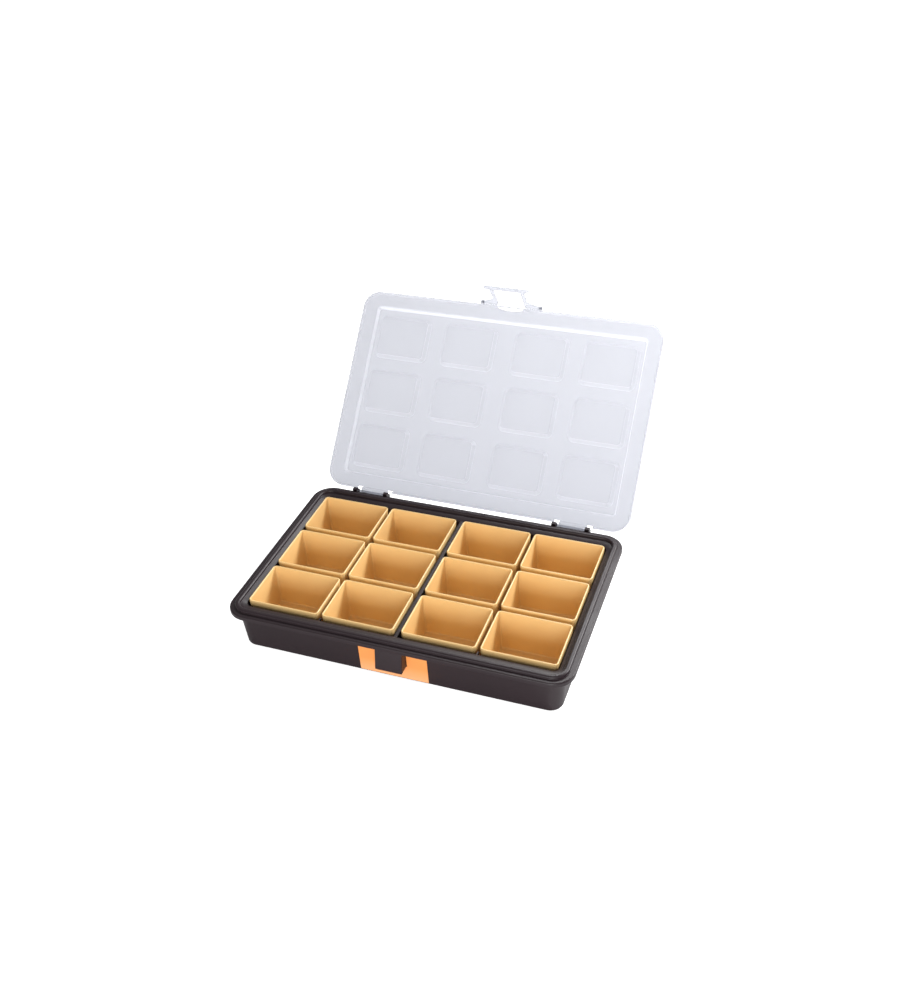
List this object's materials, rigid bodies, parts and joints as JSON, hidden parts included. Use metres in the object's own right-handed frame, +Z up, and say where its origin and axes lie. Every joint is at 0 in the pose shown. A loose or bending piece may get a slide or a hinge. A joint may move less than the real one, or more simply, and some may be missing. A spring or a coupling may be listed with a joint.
{
  "type": "compartment storage box",
  "caption": "Shallow tray of lift-out bins under a hinged clear lid with a front latch, for beads and small parts.",
  "frame": {"origin": "centre of the tray's underside, which is the face it rests on", "axes": "+X along the tray's long side, to the right seen from the latch side; +Y towards the hinge side; +Z up"},
  "size_m": [0.29, 0.334, 0.2009],
  "materials": {
    "tray_plastic": "satin",
    "clear_plastic": "gloss",
    "bin_plastic": "satin",
    "label_film": "matt"
  },
  "bodies": {
    "tray": {"tray": "tray_plastic", "front_label": "label_film"},
    "lid": {"lid": "clear_plastic"},
    "latch": {"latch": "clear_plastic"},
    "bin_r1_c1": {"bin_r1_c1": "bin_plastic"},
    "bin_r1_c2": {"bin_r1_c2": "bin_plastic"},
    "bin_r1_c3": {"bin_r1_c3": "bin_plastic"},
    "bin_r1_c4": {"bin_r1_c4": "bin_plastic"},
    "bin_r2_c1": {"bin_r2_c1": "bin_plastic"},
    "bin_r2_c2": {"bin_r2_c2": "bin_plastic"},
    "bin_r2_c3": {"bin_r2_c3": "bin_plastic"},
    "bin_r2_c4": {"bin_r2_c4": "bin_plastic"},
    "bin_r3_c1": {"bin_r3_c1": "bin_plastic"},
    "bin_r3_c2": {"bin_r3_c2": "bin_plastic"},
    "bin_r3_c3": {"bin_r3_c3": "bin_plastic"},
    "bin_r3_c4": {"bin_r3_c4": "bin_plastic"}
  },
  "joints": [
    {"name": "lid_hinge", "type": "hinge", "parent": "tray", "child": "lid", "pos_m": [0, 0.0986, 0.0352], "axis": [-1, 0, 0], "range_deg": [-132.3, 0]},
    {"name": "latch_pivot", "type": "hinge", "parent": "lid", "child": "latch", "pos_m": [0, 0.23425, 0.17581], "axis": [-1, 0, 0], "range_deg": [-12.5, 95]},
    {"name": "bin_r1_c1_lift", "type": "slide", "parent": "tray", "child": "bin_r1_c1", "axis": [0, 0, 1], "range_m": [0, 0.045]},
    {"name": "bin_r1_c2_lift", "type": "slide", "parent": "tray", "child": "bin_r1_c2", "axis": [0, 0, 1], "range_m": [0, 0.045]},
    {"name": "bin_r1_c3_lift", "type": "slide", "parent": "tray", "child": "bin_r1_c3", "axis": [0, 0, 1], "range_m": [0, 0.045]},
    {"name": "bin_r1_c4_lift", "type": "slide", "parent": "tray", "child": "bin_r1_c4", "axis": [0, 0, 1], "range_m": [0, 0.045]},
    {"name": "bin_r2_c1_lift", "type": "slide", "parent": "tray", "child": "bin_r2_c1", "axis": [0, 0, 1], "range_m": [0, 0.045]},
    {"name": "bin_r2_c2_lift", "type": "slide", "parent": "tray", "child": "bin_r2_c2", "axis": [0, 0, 1], "range_m": [0, 0.045]},
    {"name": "bin_r2_c3_lift", "type": "slide", "parent": "tray", "child": "bin_r2_c3", "axis": [0, 0, 1], "range_m": [0, 0.045]},
    {"name": "bin_r2_c4_lift", "type": "slide", "parent": "tray", "child": "bin_r2_c4", "axis": [0, 0, 1], "range_m": [0, 0.045]},
    {"name": "bin_r3_c1_lift", "type": "slide", "parent": "tray", "child": "bin_r3_c1", "axis": [0, 0, 1], "range_m": [0, 0.045]},
    {"name": "bin_r3_c2_lift", "type": "slide", "parent": "tray", "child": "bin_r3_c2", "axis": [0, 0, 1], "range_m": [0, 0.045]},
    {"name": "bin_r3_c3_lift", "type": "slide", "parent": "tray", "child": "bin_r3_c3", "axis": [0, 0, 1], "range_m": [0, 0.045]},
    {"name": "bin_r3_c4_lift", "type": "slide", "parent": "tray", "child": "bin_r3_c4", "axis": [0, 0, 1], "range_m": [0, 0.045]}
  ]
}
